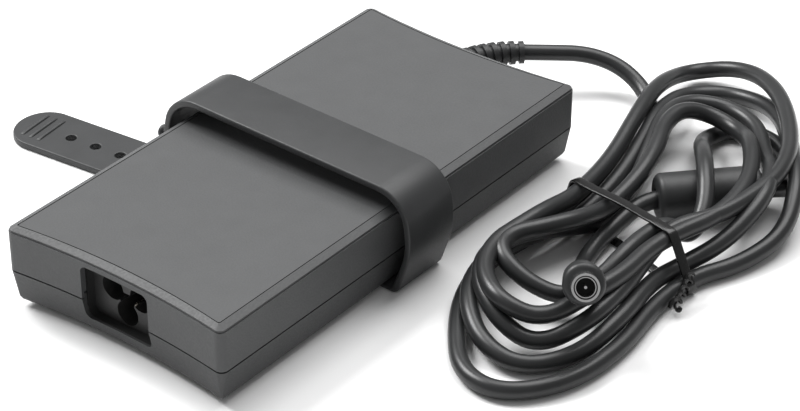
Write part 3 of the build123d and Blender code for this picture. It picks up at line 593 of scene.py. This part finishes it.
def tail_mesh():
    """The tail with its three holes, cut finely across near its root."""
    holes = []
    for distance in TAIL_HOLES:
        circle = []
        for step in range(28):
            angle = 2 * math.pi * step / 28
            x = -distance + TAIL_HOLE_RADIUS * math.cos(angle)
            circle.append((x, TAIL_HOLE_RADIUS * math.sin(angle)))
        holes.append(circle)
    mesh = flat_curve("strap_tail_plate", [tail_outline()] + holes)
    made = bmesh.new()
    made.from_mesh(mesh)
    for step in range(BEND_CUTS):
        cut = (-(TAIL_START + 0.6 + BEND_CUT * step) * MM, 0, 0)
        geometry = made.verts[:] + made.edges[:] + made.faces[:]
        bmesh.ops.bisect_plane(made, geom=geometry, plane_co=cut, plane_no=(1, 0, 0))
    for vert in made.verts:
        x, y, z = vert.co / MM
        vert.co = Vector(tail_point(x, y, z + STRAP_THICKNESS / 2)) * MM
    made.to_mesh(mesh)
    made.free()
    return mesh


def rib_mesh(distance):
    """One rounded grip rib across the tail."""
    rows = []
    for step in range(-9, 10):
        across = RIB_HALF_LENGTH * math.sin(math.radians(step * 10))
        height = RIB_HEIGHT * math.sqrt(max(1 - (across / RIB_HALF_LENGTH) ** 6, 0))
        row = []
        for turn in range(9):
            angle = math.pi * turn / 8
            x = -distance + RIB_HALF_WIDTH * math.cos(angle)
            row.append(tail_point(x, across, STRAP_THICKNESS - 0.1 + height * math.sin(angle)))
        rows.append(row)
    return grid_mesh("strap_rib", rows, False, False)


def peg_mesh():
    """Peg with a rounded head on the strap's flank, for the tail's holes."""
    y = STRAP_Y - math.sin(math.radians(TAIL_YAW)) * TAIL_HINGE
    rows = []
    for x, radius in PEG_PROFILE:
        row = []
        for step in range(24):
            angle = 2 * math.pi * step / 24
            row.append((x, y + radius * math.cos(angle), PEG_Z + radius * math.sin(angle)))
        rows.append(row)
    return grid_mesh("strap_peg", rows, False, True)


def make_strap(material):
    """The whole strap as one moulded piece: loop, tail, peg and grip ribs joined in one mesh."""
    meshes = [loop_mesh(), tail_mesh(), peg_mesh()] + [rib_mesh(distance) for distance in TAIL_RIBS]
    made = bmesh.new()
    for mesh in meshes:
        made.from_mesh(mesh)
        bpy.data.meshes.remove(mesh)
    joined = bpy.data.meshes.new("rubber_strap")
    made.to_mesh(joined)
    made.free()
    strap = new_object("rubber_strap", joined, material)
    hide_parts("strap_loop", "strap_tail")
    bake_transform(strap)


# ---------------------------------------------------------------- twist tie
def hull(points):
    """Convex outline of flat points, counter-clockwise."""
    ordered = sorted(set(points))

    def chain(run):
        kept = []
        for point in run:
            while len(kept) > 1:
                a, b = kept[-2], kept[-1]
                if (b[0] - a[0]) * (point[1] - a[1]) - (b[1] - a[1]) * (point[0] - a[0]) > 0:
                    break
                kept.pop()
            kept.append(point)
        return kept[:-1]

    return chain(ordered) + chain(ordered[::-1])


def tie_frame(across, beside, up):
    """A point of the tie's own frame: across the hank, along it, and up."""
    heading = math.radians(TIE_HEADING)
    x = TIE_CENTRE[0] + across * math.cos(heading) - beside * math.sin(heading)
    y = TIE_CENTRE[1] + across * math.sin(heading) + beside * math.cos(heading)
    return (x, y, up)


def tie_path(points):
    """The tie's path, pulled tight round every strand that it goes round."""
    line = spline_weights(len(points), 24) @ np.array(points)
    heading = math.radians(TIE_HEADING)
    offset = line[:, :2] - np.array(TIE_CENTRE)
    across = offset @ np.array((math.cos(heading), math.sin(heading)))
    beside = offset @ np.array((-math.sin(heading), math.cos(heading)))
    reach = CORD_RADIUS + TIE_THICKNESS / 2 + TIE_GAP
    touched = []
    for u, v, z in zip(across, beside, line[:, 2]):
        if abs(v) < TIE_REACH[1] and abs(u) < TIE_REACH[0]:
            for step in range(36):
                angle = 2 * math.pi * step / 36
                up = max(z + reach * math.sin(angle), TIE_THICKNESS / 2)
                touched.append((round(float(u + reach * math.cos(angle)), 3), round(float(up), 3)))
    return hull(touched)


def evenly(path, spacing):
    """Points round a closed path, about evenly spaced."""
    dense = []
    for index, here in enumerate(path):
        there = path[(index + 1) % len(path)]
        steps = max(1, round(math.dist(here, there) / spacing))
        for step in range(steps):
            share = step / steps
            dense.append((here[0] + (there[0] - here[0]) * share, here[1] + (there[1] - here[1]) * share))
    return dense


def tie_band(path):
    """Flat band with soft edges along the path."""
    section = rounded_section(TIE_WIDTH, TIE_THICKNESS, 0.3, 3)
    dense = evenly(path, 1.5)
    rows = []
    for index, here in enumerate(dense):
        ahead = Vector(dense[(index + 1) % len(dense)]) - Vector(dense[index - 1])
        out = Vector((ahead.y, -ahead.x)).normalized()
        row = []
        for beside, up in section:
            wave = TIE_WAVE * math.sin(index * 0.35)
            row.append(tie_frame(here[0] + out.x * up, beside + wave, here[1] + out.y * up))
        rows.append(row)
    return grid_mesh("tie_band", rows, True, True)


def twist_section(middle, angle):
    """Oval section of one twisted end, turned with the twist."""
    row = []
    for turn in range(12):
        swing = 2 * math.pi * turn / 12
        wide = TIE_END_WIDE * math.cos(swing)
        across = middle[0] + wide * math.cos(angle)
        beside = middle[1] + TIE_END_NARROW * math.sin(swing)
        row.append(tie_frame(across, beside, middle[2] + wide * math.sin(angle)))
    return row


def tie_twist(path):
    """The two ends twisted together at the tie's right flank, and spread apart at their tips."""
    flank = max(path, key=lambda place: place[0])[0] - 0.4
    meshes = []
    for phase in (0, math.pi):
        rows = []
        for step in range(41):
            share = step / 40
            angle = phase + share * math.pi * TIE_HALF_TWISTS
            spread = 1.1 + (1.2 * (share - 0.8) * 5 if share > 0.8 else 0)
            across = flank + TIE_END_RUN[0] * share + spread * math.cos(angle) * 0.4
            beside = TIE_END_RUN[1] * share + spread * math.cos(angle) * 0.5
            up = TIE_END_START + TIE_END_RUN[2] * share + spread * math.sin(angle)
            rows.append(twist_section((across, beside, up), angle))
        meshes.append(grid_mesh("tie_end", rows, False, True))
    return meshes


def make_tie(points, material):
    """The twist tie: a band pulled round the waist and its two twisted ends."""
    path = tie_path(points)
    made = bmesh.new()
    for mesh in [tie_band(path)] + tie_twist(path):
        made.from_mesh(mesh)
        bpy.data.meshes.remove(mesh)
    joined = bpy.data.meshes.new("wire_tie")
    made.to_mesh(joined)
    made.free()
    tie = new_object("wire_tie", joined, material)
    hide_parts("twist_tie")
    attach(tie, "case")
    return tie


# ---------------------------------------------------------------- floor and light
FLOOR_SIZE = 12.0
FLOOR_DROP = 0.0002
# Each light's place in metres, size and power.
LIGHTS = {
    "key": ((-1.05, -0.10, 1.15), 0.7, 31),
    "top": ((-0.1, 0.7, 1.5), 1.2, 26),
}
SURROUND = 0.34


def make_floor():
    """Large pale floor."""
    bpy.ops.mesh.primitive_plane_add(size=FLOOR_SIZE, location=(0, 0, -FLOOR_DROP))
    floor = bpy.context.object
    floor.name = "studio_floor"
    paper = surface("studio_floor", grey(0.86), grey(0.875), (0.7, 0.8), patch=3.0, bump=0.02)
    floor.data.materials.append(paper)


def make_light(name, place, size, power):
    """Soft square light pointed at the origin."""
    data = bpy.data.lights.new(name, "AREA")
    data.size = size
    data.energy = power
    light = bpy.data.objects.new(name, data)
    bpy.context.scene.collection.objects.link(light)
    light.location = place
    light.rotation_euler = (-Vector(place)).to_track_quat("-Z", "Y").to_euler()


def make_lights():
    """Large key from the left, a top light from behind, and an even weak surround."""
    for name, (place, size, power) in LIGHTS.items():
        make_light(name, place, size, power)
    world = bpy.data.worlds.new("surround")
    world.use_nodes = True
    world.node_tree.nodes["Background"].inputs["Color"].default_value = (1, 1, 1, 1)
    world.node_tree.nodes["Background"].inputs["Strength"].default_value = SURROUND
    bpy.context.scene.world = world
    bpy.context.scene.view_settings.view_transform = "Standard"


# ---------------------------------------------------------------- build the scene
make_camera()
materials = make_materials()
paint_nodes(materials)
route = cord_points()
cord = make_cord(route, materials["cord_sheath"])
tie = make_tie(route, materials["tie_plastic"])
make_strap(materials["strap_rubber"])
make_floor()
make_lights()
